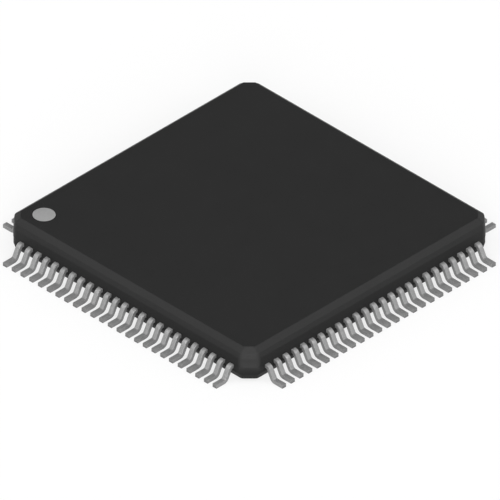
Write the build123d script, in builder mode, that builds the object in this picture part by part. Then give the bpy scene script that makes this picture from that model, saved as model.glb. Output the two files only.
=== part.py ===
from build123d import *

import os
from math import atan2, sqrt, tan

# A 100-lead quad flat pack. The origin is the middle of the seating plane, which the
# feet of the leads rest on, and +Z is up. Pin 1 is at the -X, +Y corner, and the pins
# count anticlockwise seen from above. All sizes are in millimetres.

# Leads, outside the body
leads_on_side = 25
lead_pitch = 0.5
lead_width = 0.22
lead_thickness = 0.17
lead_above_lower_band = 0.157
lead_stub = 0.03
lead_outer_radius = 0.27
lead_slope_run = 0.285
lead_foot_length = 0.46
leads_in_node = 5

# Moulded body, from the seating plane up
wall_past_last_lead = 1.0
body_standoff = 0.15
lower_band_height = 0.243
lower_band_inset = 0.08
wall_height = 0.763
upper_band_height = 0.244
upper_band_inset = 0.045
rim_height = 0.2
rim_run = 0.25
corner_cut = 0.5
corner_round = 0.3
smallest_round = 0.02

# Pin 1 mark, a disc let into the top face
mark_diameter = 1.0
mark_depth = 0.05
mark_from_wall = 1.125

# Paddle under the die, and its tie bars
paddle_size = 7.8
paddle_downset = 0.15
tie_bar_width = 0.24
tie_bar_step_start = 0.3
tie_bar_step_run = 0.2
tie_bar_cover = 0.4

# Fingers, the inner ends of the leads
finger_tip_gap = 0.4
finger_tip_width = 0.15
last_tip_from_corner = 0.7

# Die, the bonded layer under it, and the bond wires
die_size = 5.2
die_thickness = 0.28
attach_margin = 0.1
attach_thickness = 0.03
pad_from_die_edge = 0.1
last_pad_from_corner = 0.22
wire_width = 0.025
wire_loop_height = 0.2
wire_landing = 0.25

# Heights that follow from the sizes above
wall_bottom = body_standoff + lower_band_height
wall_top = wall_bottom + wall_height
rim_bottom = wall_top + upper_band_height
body_top = rim_bottom + rim_height
lead_bottom = wall_bottom + lead_above_lower_band
lead_top = lead_bottom + lead_thickness
paddle_bottom = lead_bottom - paddle_downset
paddle_top = paddle_bottom + lead_thickness
die_top = paddle_top + attach_thickness + die_thickness
wire_top = die_top + wire_loop_height

# Distances from the middle, and pitches, that follow from the sizes above
half_body = (leads_on_side - 1) / 2 * lead_pitch + wall_past_last_lead
finger_tip = paddle_size / 2 + finger_tip_gap
pad_line = die_size / 2 - pad_from_die_edge
landing_line = finger_tip + wire_landing
tip_pitch = 2 * (finger_tip - last_tip_from_corner) / (leads_on_side - 1)
pad_pitch = 2 * (pad_line - last_pad_from_corner) / (leads_on_side - 1)
landing_pitch = tip_pitch + (lead_pitch - tip_pitch) * wire_landing / (half_body - finger_tip)


def along(place, pitch):
    """How far one of a side's leads stands from the middle of the side, at a pitch."""
    return (place - (leads_on_side - 1) / 2) * pitch


def side_plane(side, height=0.0):
    """A level plane with X out of a side of the body and Y along its pins."""
    return Plane.XY.rotated((0, 0, 180 + 90 * side)).offset(height)


def upright_plane(turn, across=0.0):
    """An upright plane with X level, at a turn about the middle, and Y straight up."""
    level = Plane.XY.rotated((0, 0, turn))
    return Plane(level.from_local_coords((0, across, 0)), x_dir=level.x_dir, z_dir=-level.y_dir)


os.makedirs("parts", exist_ok=True)

# Paddle and tie bars, one stamping, set down below the level of the leads
bar_step = sqrt(2) * paddle_size / 2 + tie_bar_step_start
bar_end = (2 * half_body - corner_cut) / sqrt(2) - tie_bar_cover
bar_underside = [
    (0, paddle_bottom),
    (bar_step, paddle_bottom),
    (bar_step + tie_bar_step_run, lead_bottom),
    (bar_end, lead_bottom),
]
bar_upper_side = [(out, height + lead_thickness) for out, height in reversed(bar_underside)]
with BuildPart() as die_paddle:
    with BuildSketch(Plane.XY.offset(paddle_bottom)):
        Rectangle(paddle_size, paddle_size)
    extrude(amount=lead_thickness)
    for corner in range(4):
        with BuildSketch(upright_plane(45 + 90 * corner)):
            with BuildLine():
                Polyline(*bar_underside, *bar_upper_side, close=True)
            make_face()
        extrude(amount=tie_bar_width / 2, both=True)
die_paddle.part.label = "die_paddle"
export_step(die_paddle.part, "parts/die_paddle.step")

# Layer that bonds the die to the paddle
with BuildPart() as die_attach:
    with BuildSketch(Plane.XY.offset(paddle_top)):
        Rectangle(die_size + 2 * attach_margin, die_size + 2 * attach_margin)
    extrude(amount=attach_thickness)
die_attach.part.label = "die_attach"
export_step(die_attach.part, "parts/die_attach.step")

# Silicon die
with BuildPart() as silicon_die:
    with BuildSketch(Plane.XY.offset(die_top - die_thickness)):
        Rectangle(die_size, die_size)
    extrude(amount=die_thickness)
silicon_die.part.label = "silicon_die"
export_step(silicon_die.part, "parts/silicon_die.step")

# Leads. Seen from the side, each is a strip of one thickness that runs level out of the
# body, turns down and turns level again at the foot, so its two faces bend a little
# apart from the corners of its middle line. Inside the body it narrows to a finger that
# leans in towards the die. A node holds neighbouring leads, each a solid of its own.
slope = atan2(lead_bottom, lead_slope_run)
shoulder = half_body + lead_stub + (lead_outer_radius - lead_thickness / 2) * tan(slope / 2)
heel = shoulder + lead_slope_run
lead_end = heel + shoulder - half_body - lead_stub + lead_foot_length
bend_shift = lead_thickness / 2 * tan(slope / 2)
lead_outline = [
    (half_body, lead_top),
    (shoulder + bend_shift, lead_top),
    (heel + bend_shift, lead_thickness),
    (lead_end, lead_thickness),
    (lead_end, 0),
    (heel - bend_shift, 0),
    (shoulder - bend_shift, lead_bottom),
    (half_body, lead_bottom),
]
lead_nodes = []
for first_pin in range(0, 4 * leads_on_side, leads_in_node):
    with BuildPart() as leads:
        for pin in range(first_pin, first_pin + leads_in_node):
            side, place = divmod(pin, leads_on_side)
            root = along(place, lead_pitch)
            tip = along(place, tip_pitch)
            with BuildSketch(upright_plane(180 + 90 * side, root)) as strip:
                with BuildLine():
                    Polyline(*lead_outline, close=True)
                make_face()
                shoulder_corner = strip.vertices().group_by(Axis.Y)[-1].sort_by(Axis.X)[-1]
                heel_corner = strip.vertices().group_by(Axis.Y)[0].sort_by(Axis.X)[0]
                fillet([shoulder_corner, heel_corner], lead_outer_radius)
            extrude(amount=lead_width / 2, both=True)
            with BuildSketch(side_plane(side, lead_bottom)):
                with BuildLine():
                    Polyline(
                        (half_body, root - lead_width / 2),
                        (half_body, root + lead_width / 2),
                        (finger_tip, tip + finger_tip_width / 2),
                        (finger_tip, tip - finger_tip_width / 2),
                        close=True,
                    )
                make_face()
            extrude(amount=lead_thickness)
    leads.part.label = f"leads_{first_pin + 1}_to_{first_pin + leads_in_node}"
    export_step(leads.part, f"parts/{leads.part.label}.step")
    lead_nodes.append(leads.part)

# Bond wires, one from the die to each finger. All the wires of a side have one outline
# seen along the side, straight up from the die and then down to the fingers, so they are
# a thin folded sheet cut into strips that fan out. The compound parts along that sheet.
wire_drop = (wire_top - lead_top) / (landing_line - pad_line)
wire_outline = [
    (pad_line - wire_width, die_top),
    (pad_line - wire_width, wire_top + wire_drop * wire_width),
    (landing_line, lead_top),
    (landing_line - wire_width / wire_drop, lead_top),
    (pad_line, wire_top - wire_width),
    (pad_line, die_top),
]
wire_nodes = []
wire_sheets = []
for side in range(4):
    with BuildPart() as sheet:
        with BuildSketch(upright_plane(180 + 90 * side)):
            with BuildLine():
                Polyline(*wire_outline, close=True)
            make_face()
        extrude(amount=half_body, both=True)
        edge_wire = along(leads_on_side - 1, 1)
        with BuildSketch(side_plane(side, die_top)) as row:
            with BuildLine():
                Polyline(
                    (pad_line - wire_width, -edge_wire * pad_pitch - wire_width),
                    (landing_line, -edge_wire * landing_pitch - wire_width),
                    (landing_line, edge_wire * landing_pitch + wire_width),
                    (pad_line - wire_width, edge_wire * pad_pitch + wire_width),
                    close=True,
                )
            make_face()
        extrude(amount=wire_loop_height * 2, both=True, mode=Mode.INTERSECT)
    with BuildPart() as wires:
        with BuildSketch(side_plane(side, lead_top)):
            for place in range(leads_on_side):
                with BuildLine():
                    Polyline(
                        (pad_line - wire_width, along(place, pad_pitch) - wire_width / 2),
                        (landing_line, along(place, landing_pitch) - wire_width / 2),
                        (landing_line, along(place, landing_pitch) + wire_width / 2),
                        (pad_line - wire_width, along(place, pad_pitch) + wire_width / 2),
                        close=True,
                    )
                make_face()
        extrude(amount=body_top - lead_top)
        add(sheet.part, mode=Mode.INTERSECT)
    wires.part.label = f"bond_wires_{side * leads_on_side + 1}_to_{(side + 1) * leads_on_side}"
    export_step(wires.part, f"parts/{wires.part.label}.step")
    wire_nodes.append(wires.part)
    wire_sheets.append(sheet.part)

# Pin 1 mark
with BuildPart() as pin_1_mark:
    with BuildSketch(Plane.XY.offset(body_top)):
        with Locations((mark_from_wall - half_body, half_body - mark_from_wall)):
            Circle(mark_diameter / 2)
    extrude(amount=-mark_depth)
pin_1_mark.part.label = "pin_1_mark"
export_step(pin_1_mark.part, "parts/pin_1_mark.step")

# Moulded body, cast round everything that it holds. Its plan is drawn in by an inset at
# each height, and the cut of the corners shrinks so that they come in as far as the sides.
body_plans = [
    (body_standoff, lower_band_inset),
    (wall_bottom, 0),
    (wall_top, 0),
    (rim_bottom, upper_band_inset),
    (body_top, upper_band_inset + rim_run),
]
with BuildPart() as moulded_body:
    for height, inset in body_plans:
        with BuildSketch(Plane.XY.offset(height)) as plan:
            Rectangle(2 * (half_body - inset), 2 * (half_body - inset))
            chamfer(plan.vertices(), corner_cut - (2 - sqrt(2)) * inset)
            fillet(plan.vertices(), max(corner_round - inset, smallest_round))
    loft(ruled=True)
    die_stack = [die_paddle.part, die_attach.part, silicon_die.part]
    add([pin_1_mark.part, *die_stack, *lead_nodes, *wire_sheets], mode=Mode.SUBTRACT)
moulded_body.part.label = "moulded_body"
export_step(moulded_body.part, "parts/moulded_body.step")
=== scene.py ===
import math

import bmesh
import bpy
from mathutils import Matrix, Vector


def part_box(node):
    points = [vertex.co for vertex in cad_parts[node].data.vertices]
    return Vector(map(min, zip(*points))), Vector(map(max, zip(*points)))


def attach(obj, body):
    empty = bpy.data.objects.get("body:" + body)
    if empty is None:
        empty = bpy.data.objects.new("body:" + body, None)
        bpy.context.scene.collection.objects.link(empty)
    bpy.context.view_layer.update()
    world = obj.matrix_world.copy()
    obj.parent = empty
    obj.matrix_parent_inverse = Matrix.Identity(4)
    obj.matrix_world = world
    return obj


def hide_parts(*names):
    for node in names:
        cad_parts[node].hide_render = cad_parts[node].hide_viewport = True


bl_info = {
    "name": "Quad flat pack chip",
    "version": (1, 0, 0),
    "blender": (4, 5, 0),
    "location": "3D View > Sidebar > Chip",
    "description": "Dresses a packed quad flat pack: body, pin 1 mark, leads and the parts inside",
    "category": "Object",
}

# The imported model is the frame. Its origin is the middle of the seating plane, +Z is up, and
# pin 1 is at the -X, +Y corner. Blender's lengths are metres. The meshes and the places in the
# materials are worked out in millimetres, because a few of Blender's mesh tools lose their way
# in very small numbers.
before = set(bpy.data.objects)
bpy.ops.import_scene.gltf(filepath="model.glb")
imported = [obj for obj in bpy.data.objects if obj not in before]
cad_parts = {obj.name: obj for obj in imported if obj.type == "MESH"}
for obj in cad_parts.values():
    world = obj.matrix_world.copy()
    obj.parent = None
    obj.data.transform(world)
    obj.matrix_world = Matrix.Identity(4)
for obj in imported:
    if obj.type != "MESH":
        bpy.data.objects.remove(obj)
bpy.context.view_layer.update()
body_low, body_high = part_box("moulded_body")
mark_low, mark_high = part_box("pin_1_mark")
first_leads_low, first_leads_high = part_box("leads_1_to_5")
die_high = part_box("silicon_die")[1]

METRE = 1000
HALF_BODY = body_high.x * METRE
BODY_BOTTOM, BODY_TOP = body_low.z * METRE, body_high.z * METRE
MARK_MIDDLE = (mark_low + mark_high) / 2 * METRE
MARK_RADIUS = (mark_high.x - mark_low.x) / 2 * METRE
LEAD_TOP = first_leads_high.z * METRE
LEAD_TIP, LEAD_END = -first_leads_high.x * METRE, -first_leads_low.x * METRE
HALF_DIE, DIE_TOP = die_high.x * METRE, die_high.z * METRE
SIDES = 4

LEAD_NODES = sorted(
    (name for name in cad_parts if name.startswith("leads_")),
    key=lambda name: int(name.split("_")[1]),
)
WIRE_NODES = sorted(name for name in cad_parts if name.startswith("bond_wires_"))

# How many steps each curve is drawn in
CIRCLE_STEPS = 64
CORNER_STEPS = 6
EDGE_STEPS = 4
BEND_STEPS = 8
STRIP_EDGE_STEPS = 3
TOE_STEPS = 3


class BodySettings(bpy.types.PropertyGroup):
    """Sizes and colours of the moulded body."""

    lower_band_height: bpy.props.FloatProperty(
        name="Lower band height", description="Height of the drafted band under the wall",
        default=0.000243, precision=6, unit="LENGTH")
    lower_band_inset: bpy.props.FloatProperty(
        name="Lower band inset", description="How far the underside is drawn in from the wall",
        default=0.00008, precision=6, unit="LENGTH")
    wall_height: bpy.props.FloatProperty(
        name="Wall height", description="Height of the upright wall that the leads come out of",
        default=0.000763, precision=6, unit="LENGTH")
    upper_band_height: bpy.props.FloatProperty(
        name="Upper band height", description="Height of the steep band over the wall",
        default=0.000244, precision=6, unit="LENGTH")
    upper_band_inset: bpy.props.FloatProperty(
        name="Upper band inset", description="How far the steep band leans in",
        default=0.000045, precision=6, unit="LENGTH")
    rim_run: bpy.props.FloatProperty(
        name="Rim run", description="How far the sloping rim of the top face comes in",
        default=0.00025, precision=6, unit="LENGTH")
    corner_cut: bpy.props.FloatProperty(
        name="Corner cut", description="Length cut off each side at a corner of the wall",
        default=0.0005, precision=6, unit="LENGTH")
    corner_round: bpy.props.FloatProperty(
        name="Corner round", description="Radius where the cut corner meets the wall",
        default=0.0003, precision=6, unit="LENGTH")
    smallest_round: bpy.props.FloatProperty(
        name="Smallest round", description="Radius that is left of it at the top face",
        default=0.00002, precision=6, unit="LENGTH")
    edge_round: bpy.props.FloatProperty(
        name="Edge round", description="Radius along the edges that the mould leaves",
        default=0.000018, precision=6, unit="LENGTH")
    parting_ridge: bpy.props.FloatProperty(
        name="Parting ridge", description="How far the mould's parting line stands out of the wall",
        default=0.000012, precision=6, unit="LENGTH")
    ejector_diameter: bpy.props.FloatProperty(
        name="Ejector mark diameter", description="Diameter of the dimples in the underside",
        default=0.0014, precision=6, unit="LENGTH")
    ejector_place: bpy.props.FloatProperty(
        name="Ejector mark place",
        description="Distance of the dimples from the middle, along X and Y",
        default=0.0042, precision=6, unit="LENGTH")
    ejector_depth: bpy.props.FloatProperty(
        name="Ejector mark depth", description="Depth of the dimples",
        default=0.00003, precision=6, unit="LENGTH")
    compound: bpy.props.FloatVectorProperty(
        name="Compound", description="Colour of the moulding compound",
        default=(0.0167, 0.0167, 0.0167), min=0, max=1, subtype="COLOR")
    # The filler colour is also what the painted highlight on the rim and the cut corners goes
    # towards.
    filler: bpy.props.FloatVectorProperty(
        name="Filler", description="Colour of the glass filler that shows in its skin",
        default=(0.045, 0.045, 0.045), min=0, max=1, subtype="COLOR")
    # Painted shade: the skin colour makes the wall and the band under it darker than the top.
    skin: bpy.props.FloatVectorProperty(
        name="Skin",
        description="Colour of the resin skin that is left whole on the wall and under it",
        default=(0.0125, 0.0125, 0.0125), min=0, max=1, subtype="COLOR")
    # Painted highlight: makes the steep band and the rim lighter, towards the filler colour.
    rim_highlight: bpy.props.FloatProperty(
        name="Rim rubbed", description="How far handling has rubbed the rim down to the filler",
        default=0.34, min=0, max=1, subtype="FACTOR")
    # Painted highlight: makes the cut corners lighter, towards the filler colour.
    corners_highlight: bpy.props.FloatProperty(
        name="Corners rubbed",
        description="How far handling has rubbed the cut corners down to the filler",
        default=0.52, min=0, max=1, subtype="FACTOR")
    roughness: bpy.props.FloatProperty(
        name="Roughness", description="Roughness of the moulded skin",
        default=0.5, min=0, max=1, subtype="FACTOR")
    gloss: bpy.props.FloatProperty(
        name="Gloss", description="Strength of the reflection in the moulded skin",
        default=0.125, min=0, max=1, subtype="FACTOR")


class MarkSettings(bpy.types.PropertyGroup):
    """Sizes and colour of the pin 1 mark."""

    gap: bpy.props.FloatProperty(
        name="Gap", description="Width of the groove that is left round the mark",
        default=0.000028, precision=6, unit="LENGTH")
    sunk: bpy.props.FloatProperty(
        name="Sunk", description="How far the mark lies below the top face",
        default=0.000005, precision=6, unit="LENGTH")
    edge_round: bpy.props.FloatProperty(
        name="Edge round", description="Radius along the edge of the mark",
        default=0.000012, precision=6, unit="LENGTH")
    ink: bpy.props.FloatVectorProperty(
        name="Ink", description="Colour of the mark",
        default=(0.312, 0.312, 0.312), min=0, max=1, subtype="COLOR")


class LeadSettings(bpy.types.PropertyGroup):
    """Sizes and colours of the leads."""

    on_side: bpy.props.IntProperty(
        name="Leads on a side", description="How many leads each side has", default=25, min=1)
    pitch: bpy.props.FloatProperty(
        name="Pitch", description="Distance from a lead to the next",
        default=0.0005, precision=6, unit="LENGTH")
    width: bpy.props.FloatProperty(
        name="Width", description="Width of a lead outside the body",
        default=0.00022, precision=6, unit="LENGTH")
    thickness: bpy.props.FloatProperty(
        name="Thickness", description="Thickness of the metal strip",
        default=0.00017, precision=6, unit="LENGTH")
    stub: bpy.props.FloatProperty(
        name="Stub", description="Straight length before the first bend",
        default=0.00003, precision=6, unit="LENGTH")
    outer_radius: bpy.props.FloatProperty(
        name="Outer radius", description="Radius of each bend on its outer side",
        default=0.00027, precision=6, unit="LENGTH")
    slope_run: bpy.props.FloatProperty(
        name="Slope run", description="How far out a lead goes between its two bends",
        default=0.000285, precision=6, unit="LENGTH")
    tip_width: bpy.props.FloatProperty(
        name="Tip width", description="Width of the inner end of a lead",
        default=0.00015, precision=6, unit="LENGTH")
    last_tip_from_corner: bpy.props.FloatProperty(
        name="Last tip from corner",
        description="Distance of the outermost tip from the corner of the tips' square",
        default=0.0007, precision=6, unit="LENGTH")
    silver_length: bpy.props.FloatProperty(
        name="Silver length", description="Length of the silver spot at the inner end of a lead",
        default=0.000925, precision=6, unit="LENGTH")
    upper_edge_round: bpy.props.FloatProperty(
        name="Upper edge round", description="Radius that stamping leaves along the upper edges",
        default=0.000012, precision=6, unit="LENGTH")
    lower_edge_round: bpy.props.FloatProperty(
        name="Lower edge round", description="Radius that stamping leaves along the lower edges",
        default=0.000006, precision=6, unit="LENGTH")
    toe_round: bpy.props.FloatProperty(
        name="Toe round", description="Radius round the cut end of the foot",
        default=0.000010, precision=6, unit="LENGTH")
    tin: bpy.props.FloatVectorProperty(
        name="Tin", description="Colour of the tin plate",
        default=(0.353, 0.353, 0.353), min=0, max=1, subtype="COLOR")
    # Also the colour of the painted shade on the side faces of the leads.
    tin_shade: bpy.props.FloatVectorProperty(
        name="Tin shade", description="Darker grain of the tin plate",
        default=(0.235, 0.235, 0.235), min=0, max=1, subtype="COLOR")
    # Painted highlight: makes the tin on the shoulders lighter.
    shoulder_highlight: bpy.props.FloatProperty(
        name="Burnished",
        description="How much brighter the tin is where the forming tool has rubbed the shoulder",
        default=1.55, min=1, max=2)
    # Darker cut end: partly bare metal, partly painted shade.
    cut_end_and_toe_shade: bpy.props.FloatVectorProperty(
        name="Cut end", description="Colour of the end of the foot, where the strip was cut",
        default=(0.187, 0.187, 0.187), min=0, max=1, subtype="COLOR")
    roughness: bpy.props.FloatProperty(
        name="Roughness", description="Roughness of the tin plate",
        default=0.5, min=0, max=1, subtype="FACTOR")


class InsideSettings(bpy.types.PropertyGroup):
    """Colours of the parts inside the body."""

    copper: bpy.props.FloatVectorProperty(
        name="Copper", description="Colour of the bare copper alloy",
        default=(0.72, 0.42, 0.28), min=0, max=1, subtype="COLOR")
    silver: bpy.props.FloatVectorProperty(
        name="Silver", description="Colour of the silver spots that the wires are bonded to",
        default=(0.80, 0.80, 0.78), min=0, max=1, subtype="COLOR")
    bond: bpy.props.FloatVectorProperty(
        name="Die bond", description="Colour of the cured layer under the die",
        default=(0.50, 0.50, 0.50), min=0, max=1, subtype="COLOR")
    silicon: bpy.props.FloatVectorProperty(
        name="Silicon", description="Colour of the die",
        default=(0.20, 0.20, 0.24), min=0, max=1, subtype="COLOR")
    gold: bpy.props.FloatVectorProperty(
        name="Gold", description="Colour of the bond wires",
        default=(0.85, 0.65, 0.25), min=0, max=1, subtype="COLOR")


class StageSettings(bpy.types.PropertyGroup):
    """Floor, light and camera."""

    floor_size: bpy.props.FloatProperty(
        name="Floor size", description="Length of the floor's sides", default=2.0, unit="LENGTH")
    floor_colour: bpy.props.FloatVectorProperty(
        name="Floor colour", description="Colour of the floor as it is seen",
        default=(0.98, 0.98, 0.98), min=0, max=1, subtype="COLOR")
    floor_bounce: bpy.props.FloatVectorProperty(
        name="Floor bounce", description="Colour of the light that the floor throws on the chip",
        default=(0.30, 0.30, 0.30), min=0, max=1, subtype="COLOR")
    floor_glow: bpy.props.FloatProperty(
        name="Floor glow", description="How much of the floor's whiteness is its own",
        default=0.75, min=0, max=1, subtype="FACTOR")
    sky: bpy.props.FloatProperty(
        name="Sky", description="Strength of the even light from all round",
        default=0.41, min=0, max=2)
    horizon: bpy.props.FloatProperty(
        name="Horizon", description="Strength of the white backdrop low down, all round",
        default=1.0, min=0, max=2)
    horizon_top: bpy.props.FloatProperty(
        name="Horizon top", description="How high the backdrop reaches, of 1 straight overhead",
        default=0.03, min=0, max=1, subtype="FACTOR")
    front: bpy.props.FloatProperty(
        name="Front light", description="Strength of the low light under the camera",
        default=2.03, min=0)
    key: bpy.props.FloatProperty(
        name="Key light", description="Strength of the high light over the camera",
        default=0.6, min=0)
    side: bpy.props.FloatProperty(
        name="Side lights", description="Strength of the two lights beside the camera",
        default=0.857, min=0)
    back: bpy.props.FloatProperty(
        name="Back lights", description="Strength of the two lights behind the chip",
        default=0.1, min=0)
    view_width: bpy.props.FloatProperty(
        name="View width", description="Width of what the camera sees",
        default=0.020231, precision=6, unit="LENGTH")
    shift_right: bpy.props.FloatProperty(
        name="Shift right", description="How far right of the origin the camera aims",
        default=0.0000255, precision=7, unit="LENGTH")
    shift_down: bpy.props.FloatProperty(
        name="Shift down", description="How far below the origin the camera aims",
        default=0.0001376, precision=7, unit="LENGTH")


# Mesh work

def rounded_corner(before, corner, after, radius, steps):
    """Points along the arc that rounds one corner of a line."""
    back = (before - corner).normalized()
    onward = (after - corner).normalized()
    turn = math.pi - back.angle(onward)
    reach = radius * math.tan(turn / 2)
    centre = corner + (back + onward).normalized() * radius / math.cos(turn / 2)
    first = corner + back * reach - centre
    last = corner + onward * reach - centre
    shares = [step / steps for step in range(steps + 1)]
    weights = [(math.sin((1 - share) * turn), math.sin(share * turn)) for share in shares]
    return [centre + (first * w + last * v) / math.sin(turn) for w, v in weights]


def rounded_outline(corners, radii, steps):
    """Points round a closed outline, with a radius at each of its corners."""
    count = len(corners)
    arcs = [
        rounded_corner(corners[i - 1], corners[i], corners[(i + 1) % count], radii[i], steps)
        for i in range(count)
    ]
    return [point for arc in arcs for point in arc]


def circle(centre, radius, height):
    """Points round a level circle."""
    turns = [2 * math.pi * step / CIRCLE_STEPS for step in range(CIRCLE_STEPS)]
    return [
        (centre.x + radius * math.cos(turn), centre.y + radius * math.sin(turn), height)
        for turn in turns
    ]


def add_ring(work, points):
    """Adds a ring of points to the mesh that is being made."""
    return [work.verts.new(point) for point in points]


def close_strips(work, rings):
    """Closes the strips between each ring and the next."""
    for lower, upper in zip(rings, rings[1:]):
        count = len(lower)
        for i in range(count):
            j = (i + 1) % count
            work.faces.new((lower[i], lower[j], upper[j], upper[i]))


def fill_between(work, rings):
    """Fills a flat face inside the first ring and outside all the others, with sharp edges."""
    edges = []
    for ring in rings:
        for i, vert in enumerate(ring):
            pair = (vert, ring[(i + 1) % len(ring)])
            edge = work.edges.get(pair) or work.edges.new(pair)
            edge.smooth = False
            edges.append(edge)
    bmesh.ops.triangle_fill(work, edges=edges, use_beauty=True)


def finish_piece(work, name, material, nodes):
    """Turns the finished mesh into a piece that stands for its CAD nodes."""
    bmesh.ops.recalc_face_normals(work, faces=work.faces)
    mesh = bpy.data.meshes.new(name)
    work.to_mesh(mesh)
    work.free()
    mesh.transform(Matrix.Scale(1 / METRE, 4))
    mesh.polygons.foreach_set("use_smooth", [True] * len(mesh.polygons))
    mesh.materials.append(material)
    piece = bpy.data.objects.new(name, mesh)
    bpy.context.scene.collection.objects.link(piece)
    piece.modifiers.new("Flat faces stay flat", "WEIGHTED_NORMAL").keep_sharp = True
    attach(piece, "root")
    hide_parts(*nodes)


# Shader work

# Sockets of a Mix node when it mixes colours, by number because their names repeat
MIX_FACTOR, MIX_FIRST, MIX_SECOND, MIX_RESULT = 0, 6, 7, 2


class Socket:
    """A node's output in a shader. Arithmetic on it adds Math nodes, and node() adds any other."""

    def __init__(self, tree, output=None):
        self.tree = tree
        self.output = output

    def node(self, kind, settings=None, inputs=None, output=0):
        """Adds a node with its settings and the values or links of its sockets."""
        made = self.tree.nodes.new(kind)
        for name, value in (settings or {}).items():
            setattr(made, name, value)
        for name, value in (inputs or {}).items():
            if isinstance(value, Socket):
                self.tree.links.new(value.output, made.inputs[name])
            else:
                made.inputs[name].default_value = value
        return Socket(self.tree, made.outputs[output])

    def also(self, output):
        """Another output of the same node."""
        return Socket(self.tree, self.output.node.outputs[output])

    def end(self, kind):
        """Ends the shader with this as its surface."""
        target = self.tree.nodes.new(kind)
        self.tree.links.new(self.output, target.inputs["Surface"])

    def math(self, operation, *values):
        """A Math node on the values given, which need not hold this one."""
        return self.node("ShaderNodeMath", {"operation": operation}, dict(enumerate(values)))

    def __add__(self, other):
        return self.math("ADD", self, other)

    def __radd__(self, other):
        return self.math("ADD", other, self)

    def __sub__(self, other):
        return self.math("SUBTRACT", self, other)

    def __rsub__(self, other):
        return self.math("SUBTRACT", other, self)

    def __mul__(self, other):
        return self.math("MULTIPLY", self, other)

    def __rmul__(self, other):
        return self.math("MULTIPLY", other, self)

    def __abs__(self):
        return self.math("ABSOLUTE", self)

    def rise(self, low, high):
        """Goes smoothly from 0 where this is low to 1 where it is high."""
        return self.node(
            "ShaderNodeMapRange", {"interpolation_type": "SMOOTHSTEP"},
            {"Value": self, "From Min": low, "From Max": high})

    def past(self, edge, blur):
        """1 where this is past an edge and 0 before it, blurred by so much on either side."""
        return self.rise(edge - blur, edge + blur)

    def swing(self, width):
        """Goes evenly below and above 0, by a width in all, as this goes from 0 to 1."""
        return (self - 0.5) * width

    def blend(self, first, second):
        """The first colour where this is 0, and the second where it is 1."""
        return self.node(
            "ShaderNodeMix", {"data_type": "RGBA"},
            {MIX_FACTOR: self, MIX_FIRST: opaque(first), MIX_SECOND: opaque(second)},
            output=MIX_RESULT)

    def noise(self, scale, detail=2.0, roughness=0.5):
        """Noise at this place, with its features counted per unit of length."""
        return self.node(
            "ShaderNodeTexNoise", {},
            {"Vector": self, "Scale": scale, "Detail": detail, "Roughness": roughness})


def opaque(colour):
    """A colour with its alpha, for a socket that wants four numbers."""
    return colour if isinstance(colour, Socket) else (*colour, 1.0)


def shaded(colour, share):
    """A colour made darker or lighter by a share."""
    return [channel * share for channel in colour]


def new_material(name):
    """A new material: the start of its shader work, and the place in millimetres."""
    material = bpy.data.materials.new(name)
    material.use_nodes = True
    material.node_tree.nodes.clear()
    start = Socket(material.node_tree)
    place = start.node(
        "ShaderNodeVectorMath", {"operation": "SCALE"},
        {0: start.node("ShaderNodeTexCoord", output="Object"), "Scale": METRE})
    return material, start, place


def seen_by_camera(start):
    """1 for rays that are seen, straight on or reflected, and 0 for the light thrown about."""
    rays = start.node("ShaderNodeLightPath", output="Is Camera Ray")
    mirrored = rays.math("MAXIMUM", rays.also("Is Glossy Ray"), rays.also("Is Transmission Ray"))
    return rays.math("MAXIMUM", rays, mirrored)


def end_surface(start, inputs, relief=None, relief_depth=0.0):
    """Ends a material with its surface, over a relief where there is one, its depth in metres."""
    if relief is not None:
        inputs["Normal"] = start.node(
            "ShaderNodeBump", {}, {"Height": relief, "Strength": 1.0, "Distance": relief_depth})
    start.node("ShaderNodeBsdfPrincipled", {}, inputs).end("ShaderNodeOutputMaterial")


def from_middle(place):
    """Distance out towards the nearest side, distance along that side, and height."""
    x = place.node("ShaderNodeSeparateXYZ", {}, {0: place})
    y, height = x.also("Y"), x.also("Z")
    return x.math("MAXIMUM", abs(x), abs(y)), x.math("MINIMUM", abs(x), abs(y)), height


# Finishes. Their places are in millimetres, and a share is how much of a colour shows.

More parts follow.
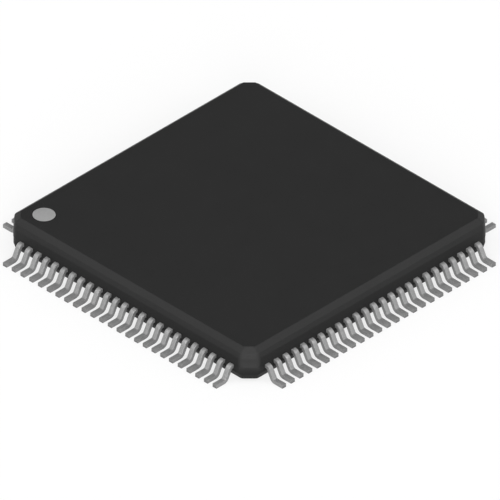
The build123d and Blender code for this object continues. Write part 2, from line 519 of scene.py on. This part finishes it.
def moulded_compound(settings, leads):
    """Black epoxy with a spark eroded skin, glass filler in it and a trimmed strip at the leads,
    with painted shade on the wall and a painted highlight on the rim and the cut corners.
    """
    wall_edge, wall_blur = HALF_BODY - 0.0125, 0.0075
    strip_half_width, strip_blur = 0.0875, 0.0125
    top_edge, top_blur = BODY_TOP - 0.007, 0.005
    skin_blur, rim_blur = 0.04, 0.03
    corner_edge, corner_blur = HALF_BODY - 0.6, 0.1
    corner_highlight_begins, corner_highlight_full = 0.4, 0.9
    wall_shade_share, band_share_of_rim_highlight = 0.85, 0.35
    speck_share, speck_share_on_shaded_wall, cloud_share, trimmed_share = 0.6, 0.2, 0.05, 0.1
    grain_roughens, clouds_roughen, trimming_roughens = 0.25, 0.04, 0.06
    specks_stand, pits_sink, tears_stand, relief_depth = 0.25, 0.4, 0.8, 0.000006

    material, start, place = new_material("moulded_compound")
    out, along, height = from_middle(place)
    grain = place.noise(scale=30, detail=3, roughness=0.6)
    pits = place.noise(scale=12).rise(0.62, 0.75)
    specks = place.noise(scale=55, detail=1).rise(0.62, 0.74)
    clouds = place.noise(scale=0.8).rise(0.3, 0.7)
    tears = place.noise(scale=9)

    # The strip between the leads, where the flash was trimmed off
    strip_middle = LEAD_TOP - leads.thickness / 2 * METRE
    in_strip = 1 - abs(height - strip_middle).past(strip_half_width, strip_blur)
    trimmed = out.past(wall_edge, wall_blur) * in_strip

    # The wall and the band under it are made darker, as painted shade. The steep band over the wall
    # is made a little lighter, the rim more and the cut corners most, as a painted highlight; the
    # top face not at all.
    wall_top = BODY_BOTTOM + (settings.lower_band_height + settings.wall_height) * METRE
    rim_bottom = wall_top + settings.upper_band_height * METRE
    wall_and_below = 1 - height.past(wall_top, skin_blur)
    below_top = 1 - height.past(top_edge, top_blur)
    up_the_rim = height.past(rim_bottom, rim_blur) * (1 - band_share_of_rim_highlight) + band_share_of_rim_highlight
    rim = (1 - wall_and_below) * up_the_rim * settings.rim_highlight
    up_the_corner = height.rise(corner_highlight_begins, corner_highlight_full)
    corner = along.past(corner_edge, corner_blur) * up_the_corner * settings.corners_highlight
    # The mask of the painted highlight on the band, the rim and the cut corners.
    rubbed = below_top * start.math("MAXIMUM", rim, corner)

    # Painted shade: the wall and the band under it are darker, with fewer pale specks.
    resin_and_wall_shade = (wall_and_below * wall_shade_share).blend(settings.compound, settings.skin)
    specks_seen = specks * (speck_share - wall_and_below * (speck_share - speck_share_on_shaded_wall))
    # The filler colour brings in the real specks, clouds and trimmed strip, and the painted
    # highlight.
    filler_and_highlight = specks_seen + clouds * cloud_share + trimmed * trimmed_share + rubbed
    uneven = (
        grain.swing(grain_roughens) + clouds.swing(clouds_roughen) + trimmed * trimming_roughens)
    relief = grain + specks * specks_stand - pits * pits_sink + trimmed * tears * tears_stand
    end_surface(
        start,
        {
            "Base Color": filler_and_highlight.blend(resin_and_wall_shade, settings.filler),
            "Roughness": settings.roughness + uneven,
            "Specular IOR Level": settings.gloss,
        },
        relief, relief_depth)
    return material


def pale_ink(settings, compound):
    """Pale ink, a little uneven, on the face of the mark and not on its sides."""
    face = (mark_high.z - settings.sunk) * METRE
    ink_edge, ink_blur = face - 0.007, 0.003

    material, start, place = new_material("pale_ink")
    mottle = place.noise(scale=7, detail=3).rise(0.25, 0.75)
    grain = place.noise(scale=34)
    height = place.node("ShaderNodeSeparateXYZ", {}, {0: place}, output="Z")
    inked = height.past(ink_edge, ink_blur)
    ink = (mottle * 0.5 + grain * 0.3).blend(shaded(settings.ink, 0.95), shaded(settings.ink, 1.05))
    end_surface(
        start,
        {
            "Base Color": inked.blend(compound, ink),
            "Roughness": 0.6 + grain.swing(0.2),
            "Specular IOR Level": 0.3,
        },
        relief=grain + mottle, relief_depth=0.0000012)
    return material


def tin_plate(settings, inside):
    """Matt tin plate outside the body, and bare copper with silver tips inside it. The tin has a
    painted highlight on the shoulders and painted shade on the side faces, and its cut ends are
    darker, partly as bare metal and partly as painted shade.
    """
    side_edge, side_blur = settings.width / 2 * METRE - 0.007, 0.003
    shoulder_edge, shoulder_blur = LEAD_TOP - 0.09, 0.07
    toe_edge, toe_blur = LEAD_END - 0.006, 0.002
    break_edge, break_blur = 0.07, 0.02
    plate_edge, plate_blur = HALF_BODY - 0.02, 0.01
    silver_edge, silver_blur = LEAD_TIP + settings.silver_length * METRE, 0.025
    fine_across, coarse_along = 70, 4

    material, start, place = new_material("tin_plate")
    out, along, height = from_middle(place)
    each = start.node("ShaderNodeNewGeometry", output="Random Per Island")
    crystals = place.noise(scale=60, detail=3, roughness=0.6).rise(0.3, 0.7)
    cloudy = place.noise(scale=5).rise(0.3, 0.7)
    stretched = start.node("ShaderNodeCombineXYZ", {}, {
        "X": along * fine_across, "Y": out * coarse_along, "Z": height * coarse_along})
    drawn = stretched.noise(scale=1).rise(0.35, 0.65)

    # A lead stands at every whole pitch from the middle of its side
    from_lead = start.math("PINGPONG", along, settings.pitch / 2 * METRE)
    # Painted shade: the side faces of the leads are made darker.
    side_shade = from_lead.past(side_edge, side_blur)
    # The shoulder mask: a painted highlight there, and less roughness.
    rubbed = height.past(shoulder_edge, shoulder_blur)
    tin_with_highlight = rubbed.blend(settings.tin, shaded(settings.tin, settings.shoulder_highlight))
    grain_and_side_shade = crystals * 0.5 + cloudy * 0.15 + drawn * 0.2 + each * 0.15 + side_shade * 0.22
    # The cut end of the foot is darker, partly as bare metal and partly as painted shade.
    broken, sheared = shaded(settings.cut_end_and_toe_shade, 0.85), shaded(settings.cut_end_and_toe_shade, 1.1)
    toe = height.past(break_edge, break_blur).blend(broken, sheared)
    tin = out.past(toe_edge, toe_blur).blend(grain_and_side_shade.blend(tin_with_highlight, settings.tin_shade), toe)
    silvered = 1 - out.past(silver_edge, silver_blur)
    bare = silvered.blend(inside.copper, inside.silver)
    uneven = crystals.swing(0.14) + each.swing(0.03) - rubbed * 0.05
    end_surface(
        start,
        {
            "Base Color": out.past(plate_edge, plate_blur).blend(bare, tin),
            "Metallic": 0.5,
            "Roughness": settings.roughness + uneven,
        },
        relief=crystals + drawn * 0.6, relief_depth=0.0000018)
    return material


def bare_copper(inside):
    """Rolled copper alloy, a little tarnished."""
    coarse_along, fine_across = 2, 60

    material, start, place = new_material("bare_copper")
    rolled = place.node(
        "ShaderNodeVectorMath", {"operation": "MULTIPLY"},
        {0: place, 1: (coarse_along, fine_across, fine_across)}).noise(scale=1)
    tarnish = place.noise(scale=1.5, detail=3).rise(0.4, 0.7)
    dull = rolled * 0.3 + tarnish * 0.4
    end_surface(
        start,
        {
            "Base Color": dull.blend(inside.copper, shaded(inside.copper, 0.75)),
            "Metallic": 1.0,
            "Roughness": 0.32 + rolled * 0.1 + tarnish * 0.08,
        },
        relief=rolled, relief_depth=0.000001)
    return material


def cured_bond(inside):
    """Silver filled glue, cured."""
    material, start, place = new_material("cured_bond")
    flakes = place.noise(scale=45).rise(0.45, 0.6)
    end_surface(
        start,
        {
            "Base Color": flakes.blend(shaded(inside.bond, 0.8), inside.bond),
            "Metallic": flakes * 0.7,
            "Roughness": 0.6 - flakes * 0.15,
        },
        relief=flakes, relief_depth=0.000002)
    return material


def polished_silicon(inside):
    """Silicon with plain blocks of circuit on its face and a ring of pads round them."""
    face_edge, face_blur = DIE_TOP - 0.0025, 0.0015
    pads_begin, pads_end, pads_blur = HALF_DIE - 0.155, HALF_DIE - 0.055, 0.005
    circuit_edge, circuit_blur = HALF_DIE - 0.29, 0.01

    material, start, place = new_material("polished_silicon")
    out, _, height = from_middle(place)
    blocks = place.node(
        "ShaderNodeTexVoronoi", {"distance": "CHEBYCHEV"}, {"Vector": place, "Scale": 1.6},
        output="Color")
    rows = place.node("ShaderNodeTexBrick", {}, {"Vector": place, "Scale": 14.0}, output="Fac")
    at_face = height.past(face_edge, face_blur)
    in_pads = out.past(pads_begin, pads_blur) * (1 - out.past(pads_end, pads_blur))
    pads = at_face * in_pads
    inner = 1 - out.past(circuit_edge, circuit_blur)
    circuit = at_face * inner * (blocks.noise(scale=3.0, detail=0) * 0.6 + rows * 0.3)
    lined = circuit.blend(shaded(inside.silicon, 0.8), shaded(inside.silicon, 1.5))
    end_surface(
        start,
        {
            "Base Color": pads.blend(lined, inside.silver),
            "Metallic": pads * 0.9,
            "Roughness": 0.12 + circuit * 0.2,
        })
    return material


def drawn_gold(inside):
    """Drawn gold wire."""
    material, start, place = new_material("drawn_gold")
    drawn = place.noise(scale=30)
    end_surface(
        start,
        {
            "Base Color": drawn.blend(inside.gold, shaded(inside.gold, 0.85)),
            "Metallic": 1.0,
            "Roughness": 0.18 + drawn * 0.12,
        },
        relief=drawn, relief_depth=0.0000005)
    return material


# Operators, one for each piece or group of like pieces and one for the stage

class MouldBody(bpy.types.Operator):
    """Mould the body, with its bands, rim, cut corners, recess for the mark and ejector marks"""

    bl_idname = "chip.mould_body"
    bl_label = "Mould the body"

    def execute(self, context):
        sizes = context.scene.chip_body
        edge = sizes.edge_round * METRE
        work = bmesh.new()
        shell = [add_ring(work, self.plan(sizes, *spot)) for spot in self.side_view(sizes)]
        close_strips(work, shell)

        # Recess that the mark lies in
        recess = self.hollow(work, MARK_MIDDLE, MARK_RADIUS, BODY_TOP, mark_low.z * METRE, edge)
        fill_between(work, [shell[-1], recess])

        # Dimples where the ejector pins pushed
        place, depth = sizes.ejector_place * METRE, sizes.ejector_depth * METRE
        radius, floor, lip = sizes.ejector_diameter / 2 * METRE, BODY_BOTTOM + depth, depth / 3
        dimples = [
            self.hollow(work, Vector((x, y)), radius, BODY_BOTTOM, floor, lip)
            for x in (-place, place) for y in (-place, place)
        ]
        fill_between(work, [shell[0], *dimples])
        material = moulded_compound(sizes, context.scene.chip_leads)
        finish_piece(work, "body_moulded", material, ["moulded_body"])
        return {"FINISHED"}

    def side_view(self, sizes):
        """The body's outline from the side, as how far in and how high, its edges rounded."""
        wall_bottom = BODY_BOTTOM + sizes.lower_band_height * METRE
        wall_top = wall_bottom + sizes.wall_height * METRE
        rim_bottom = wall_top + sizes.upper_band_height * METRE
        upper_inset = sizes.upper_band_inset * METRE
        bends = [
            Vector((sizes.lower_band_inset * METRE, BODY_BOTTOM)),
            Vector((0, wall_bottom)),
            Vector((0, wall_top)),
            Vector((upper_inset, rim_bottom)),
            Vector((upper_inset + sizes.rim_run * METRE, BODY_TOP)),
        ]
        line = [Vector((HALF_BODY, BODY_BOTTOM)), *bends, Vector((HALF_BODY, BODY_TOP))]
        edge = sizes.edge_round * METRE
        underside, wall_foot, *over_the_wall = (
            rounded_corner(*line[i - 1:i + 2], edge, EDGE_STEPS) for i in range(1, len(line) - 1))

        # The mould parts level with the tops of the leads, and leaves a low ridge there
        out = sizes.parting_ridge * METRE
        spread = 2 * out
        ridge = [
            Vector((0, LEAD_TOP - spread)),
            Vector((-out, LEAD_TOP)),
            Vector((0, LEAD_TOP + spread)),
        ]
        return [*underside, *wall_foot, *ridge, *(point for arc in over_the_wall for point in arc)]

    def plan(self, sizes, inset, height):
        """The body's outline from above, drawn in by an inset, with cut and rounded corners."""
        side = HALF_BODY - inset

        # The cut shrinks with the inset, so that the corners come in as far as the sides
        cut = sizes.corner_cut * METRE - (2 - math.sqrt(2)) * inset
        straight = side - cut
        radius = max(sizes.corner_round * METRE - inset, sizes.smallest_round * METRE)
        turns = [Matrix.Rotation(math.radians(90 * number), 2) for number in range(SIDES)]
        ends = [Vector((side, -straight)), Vector((side, straight))]
        corners = [turn @ end for turn in turns for end in ends]
        outline = rounded_outline(corners, [radius] * len(corners), CORNER_STEPS)
        return [(x, y, height) for x, y in outline]

    def hollow(self, work, middle, radius, face, floor, lip):
        """Sinks a round hollow with a rounded lip from a face to its floor, and returns its rim."""
        down, foot = math.copysign(1, floor - face), lip / 2
        well_outside, mouth = Vector((radius + 4 * lip, face)), Vector((radius, face))
        points = rounded_corner(well_outside, mouth, Vector((radius, floor)), lip, EDGE_STEPS)
        points += [Vector((radius, floor - down * foot)), Vector((radius - foot, floor))]
        rings = [add_ring(work, circle(middle, reach, height)) for reach, height in points]
        close_strips(work, rings)
        work.faces.new(rings[-1])
        return rings[0]


class SetMark(bpy.types.Operator):
    """Set the pale pin 1 mark in its recess"""

    bl_idname = "chip.set_mark"
    bl_label = "Set the pin 1 mark"

    def execute(self, context):
        sizes = context.scene.chip_mark
        radius, floor = MARK_RADIUS - sizes.gap * METRE, mark_low.z * METRE
        top = (mark_high.z - sizes.sunk) * METRE
        corners = [Vector((radius, floor)), Vector((radius, top)), Vector((0, top))]
        spots = [(radius, floor), *rounded_corner(*corners, sizes.edge_round * METRE, EDGE_STEPS)]
        work = bmesh.new()
        rings = [add_ring(work, circle(MARK_MIDDLE, reach, height)) for reach, height in spots]
        close_strips(work, rings)
        work.faces.new(rings[0])
        work.faces.new(rings[-1])
        ink = pale_ink(sizes, context.scene.chip_body.compound)
        finish_piece(work, "mark_of_pin_1", ink, ["pin_1_mark"])
        return {"FINISHED"}


class FormLeads(bpy.types.Operator):
    """Form the leads, five to a piece, from their fingers inside the body to their feet"""

    bl_idname = "chip.form_leads"
    bl_label = "Form the leads"

    def execute(self, context):
        sizes = context.scene.chip_leads
        material = tin_plate(sizes, context.scene.chip_inside)
        for node in LEAD_NODES:
            first, last = (int(number) for number in node.split("_")[1::2])
            work = bmesh.new()
            for pin in range(first - 1, last):
                self.form_lead(work, sizes, *divmod(pin, sizes.on_side))
            finish_piece(work, f"formed_{node}", material, [node])
        return {"FINISHED"}

    def form_lead(self, work, sizes, side, number):
        """Sweeps the strip's section along one lead."""
        thickness, width = sizes.thickness * METRE, sizes.width * METRE
        out_of_side = Matrix.Rotation(math.radians(180 + 90 * side), 3, "Z")

        # Places across the side, outside the body and at the tip
        pitches = number - (sizes.on_side - 1) / 2
        across = pitches * sizes.pitch * METRE
        tips_reach = LEAD_TIP - sizes.last_tip_from_corner * METRE
        tip_across = pitches * 2 * tips_reach / (sizes.on_side - 1)

        # Sections as place out and up, tilt, place across, width, and how far drawn in
        tip = Vector((LEAD_TIP, LEAD_TOP - thickness / 2))
        sections = [(tip, 0, tip_across, sizes.tip_width * METRE, 0)]
        sections += [
            (point, tilt, across, width, drawn_in)
            for point, tilt, drawn_in in self.side_view(sizes, thickness)
        ]
        rings = []
        for point, tilt, shift, wide, drawn_in in sections:
            ring = [
                out_of_side @ Vector((
                    point.x + v * math.sin(tilt), shift + u, point.y + v * math.cos(tilt)))
                for u, v in self.section(sizes, wide, thickness, drawn_in)
            ]
            rings.append(add_ring(work, ring))
        close_strips(work, rings)
        work.faces.new(rings[0])
        work.faces.new(rings[-1])

    def side_view(self, sizes, thickness):
        """The strip's middle line outside the body, as place, tilt and how far drawn in."""
        half = thickness / 2
        middle = LEAD_TOP - half
        slope = math.atan2(middle - half, sizes.slope_run * METRE)
        bend = sizes.outer_radius * METRE - half
        shoulder = HALF_BODY + sizes.stub * METRE + bend * math.tan(slope / 2)
        heel = shoulder + sizes.slope_run * METRE
        line = [
            Vector((HALF_BODY, middle)),
            Vector((shoulder, middle)),
            Vector((heel, half)),
            Vector((LEAD_END, half)),
        ]
        spots = [(line[0], 0, 0)]
        for i, tilt_before, tilt_after in ((1, 0, slope), (2, slope, 0)):
            arc = rounded_corner(*line[i - 1:i + 2], bend, BEND_STEPS)
            for step, point in enumerate(arc):
                tilt = tilt_before + (tilt_after - tilt_before) * step / BEND_STEPS
                spots.append((point, tilt, 0))
        toe = sizes.toe_round * METRE
        for step in range(TOE_STEPS + 1):
            turn = step / TOE_STEPS * math.pi / 2
            point = Vector((LEAD_END - toe + toe * math.sin(turn), half))
            spots.append((point, 0, toe * (1 - math.cos(turn))))
        return spots

    def section(self, sizes, wide, thickness, drawn_in):
        """Points round the strip's section, drawn in evenly by a little at the toe."""
        across, up = wide / 2 - drawn_in, thickness / 2 - drawn_in
        corners = [(across, -up), (across, up), (-across, up), (-across, -up)]
        lower, upper = sizes.lower_edge_round * METRE, sizes.upper_edge_round * METRE
        return rounded_outline(
            [Vector(corner) for corner in corners], (lower, upper, upper, lower), STRIP_EDGE_STEPS)


class FinishInside(bpy.types.Operator):
    """Give the paddle, the bond, the die and the bond wires their finishes"""

    bl_idname = "chip.finish_inside"
    bl_label = "Finish the inside"

    def execute(self, context):
        inside = context.scene.chip_inside
        gold = drawn_gold(inside)
        finishes = [
            ("die_paddle", bare_copper(inside), "copper_alloy"),
            ("die_attach", cured_bond(inside), "die_bond"),
            ("silicon_die", polished_silicon(inside), "silicon"),
            *((node, gold, "gold_wire") for node in WIRE_NODES),
        ]
        for node, material, slot in finishes:
            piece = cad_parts[node]
            piece.data.materials.clear()
            piece.data.materials.append(material)
        return {"FINISHED"}


# Lamps: name, azimuth and elevation in degrees, the setting that gives its strength, and how
# wide it looks from the chip in degrees. The camera looks from -135 degrees.
LAMPS = (
    ("front_light", -135, 15, "front", 30),
    ("key_light", -135, 46, "key", 30),
    ("left_light", 150, 35, "side", 50),
    ("right_light", -60, 35, "side", 50),
    ("back_left_light", 90, 15, "back", 60),
    ("back_right_light", 0, 15, "back", 60),
)
LAMP_DISTANCE = 0.2
CAMERA_DISTANCE = 0.1


class SetStage(bpy.types.Operator):
    """Lay the floor, and set the light and the camera"""

    bl_idname = "chip.set_stage"
    bl_label = "Set the stage"

    def execute(self, context):
        settings = context.scene.chip_stage
        self.lay_floor(context, settings)
        self.light_world(context, settings)
        self.hang_lamps(context, settings)
        self.place_camera(context, settings)
        context.scene.view_settings.view_transform = "Standard"
        return {"FINISHED"}

    def lay_floor(self, context, settings):
        """Lays a pale floor that keeps its whiteness and the shadow of the chip."""
        material, start, _ = new_material("pale_floor")
        seen = seen_by_camera(start)
        plain = start.node("ShaderNodeBsdfPrincipled", {}, {
            "Base Color": seen.blend(settings.floor_bounce, settings.floor_colour),
            "Roughness": 0.9,
            "Specular IOR Level": 0.0,
        })
        white = start.node("ShaderNodeEmission", {}, {"Strength": 1.0})
        mixed = start.node(
            "ShaderNodeMixShader", {}, {0: seen * settings.floor_glow, 1: plain, 2: white})
        mixed.end("ShaderNodeOutputMaterial")
        half = settings.floor_size / 2
        corners = [(-half, -half, 0), (half, -half, 0), (half, half, 0), (-half, half, 0)]
        mesh = bpy.data.meshes.new("floor")
        mesh.from_pydata(corners, [], [(0, 1, 2, 3)])
        mesh.materials.append(material)
        floor = bpy.data.objects.new("floor", mesh)
        context.scene.collection.objects.link(floor)

    def light_world(self, context, settings):
        """Lights the world evenly, with a white backdrop low down all round."""
        world = bpy.data.worlds.new("studio")
        context.scene.world = world
        world.use_nodes = True
        world.node_tree.nodes.clear()
        start = Socket(world.node_tree)
        direction = start.node("ShaderNodeTexCoord", output="Generated")
        height = start.node("ShaderNodeSeparateXYZ", {}, {0: direction}, output="Z")
        backdrop = seen_by_camera(start) * (1 - height.rise(0.0, settings.horizon_top))
        colour = backdrop.blend([settings.sky] * 3, [settings.horizon] * 3)
        light = start.node("ShaderNodeBackground", {}, {"Color": colour, "Strength": 1.0})
        light.end("ShaderNodeOutputWorld")

    def hang_lamps(self, context, settings):
        """Hangs wide, soft lamps round the chip."""
        for name, azimuth, elevation, strength, width in LAMPS:
            lamp = bpy.data.lights.new(name, "SUN")
            lamp.energy = getattr(settings, strength)
            lamp.angle = math.radians(width)
            up = math.radians(elevation)
            turn = Matrix.Rotation(math.radians(azimuth), 3, "Z")
            towards = turn @ Vector((math.cos(up), 0, math.sin(up)))
            light = bpy.data.objects.new(name, lamp)
            light.location = towards * LAMP_DISTANCE
            light.rotation_euler = towards.to_track_quat("Z", "Y").to_euler()
            context.scene.collection.objects.link(light)

    def place_camera(self, context, settings):
        """Places the camera on a true isometric view, with the pin 1 corner at the left."""
        back = Vector((-1, -1, 1)).normalized()
        right = Vector((1, -1, 0)).normalized()
        up = back.cross(right)
        data = bpy.data.cameras.new("camera")
        data.type = "ORTHO"
        data.ortho_scale = settings.view_width
        data.clip_start, data.clip_end = 0.001, 1.0
        camera = bpy.data.objects.new("camera", data)
        camera.rotation_euler = Matrix((right, up, back)).transposed().to_euler()
        aim = right * settings.shift_right - up * settings.shift_down
        camera.location = aim + back * CAMERA_DISTANCE
        context.scene.collection.objects.link(camera)
        context.scene.camera = camera


class ChipPanel(bpy.types.Panel):
    """The chip's settings and the steps that make it"""

    bl_idname = "VIEW3D_PT_chip"
    bl_label = "Quad flat pack chip"
    bl_space_type = "VIEW_3D"
    bl_region_type = "UI"
    bl_category = "Chip"

    def draw(self, context):
        for operator, settings in STEPS:
            box = self.layout.box()
            group = getattr(context.scene, settings)
            for name in group.bl_rna.properties.keys():
                if name not in ("rna_type", "name"):
                    box.prop(group, name)
            box.operator(operator.bl_idname)


SETTINGS = {
    "chip_body": BodySettings,
    "chip_mark": MarkSettings,
    "chip_leads": LeadSettings,
    "chip_inside": InsideSettings,
    "chip_stage": StageSettings,
}
STEPS = (
    (MouldBody, "chip_body"),
    (SetMark, "chip_mark"),
    (FormLeads, "chip_leads"),
    (FinishInside, "chip_inside"),
    (SetStage, "chip_stage"),
)
CLASSES = (*SETTINGS.values(), *(operator for operator, settings in STEPS), ChipPanel)


def register():
    """Adds the classes and the settings to Blender."""
    for part in CLASSES:
        bpy.utils.register_class(part)
    for name, group in SETTINGS.items():
        setattr(bpy.types.Scene, name, bpy.props.PointerProperty(type=group))


def unregister():
    """Takes the settings and the classes out of Blender again."""
    for name in SETTINGS:
        delattr(bpy.types.Scene, name)
    for part in reversed(CLASSES):
        bpy.utils.unregister_class(part)


def main():
    """Makes the chip and its stage."""
    register()
    bpy.ops.chip.mould_body()
    bpy.ops.chip.set_mark()
    bpy.ops.chip.form_leads()
    bpy.ops.chip.finish_inside()
    bpy.ops.chip.set_stage()


if __name__ == "__main__":
    main()
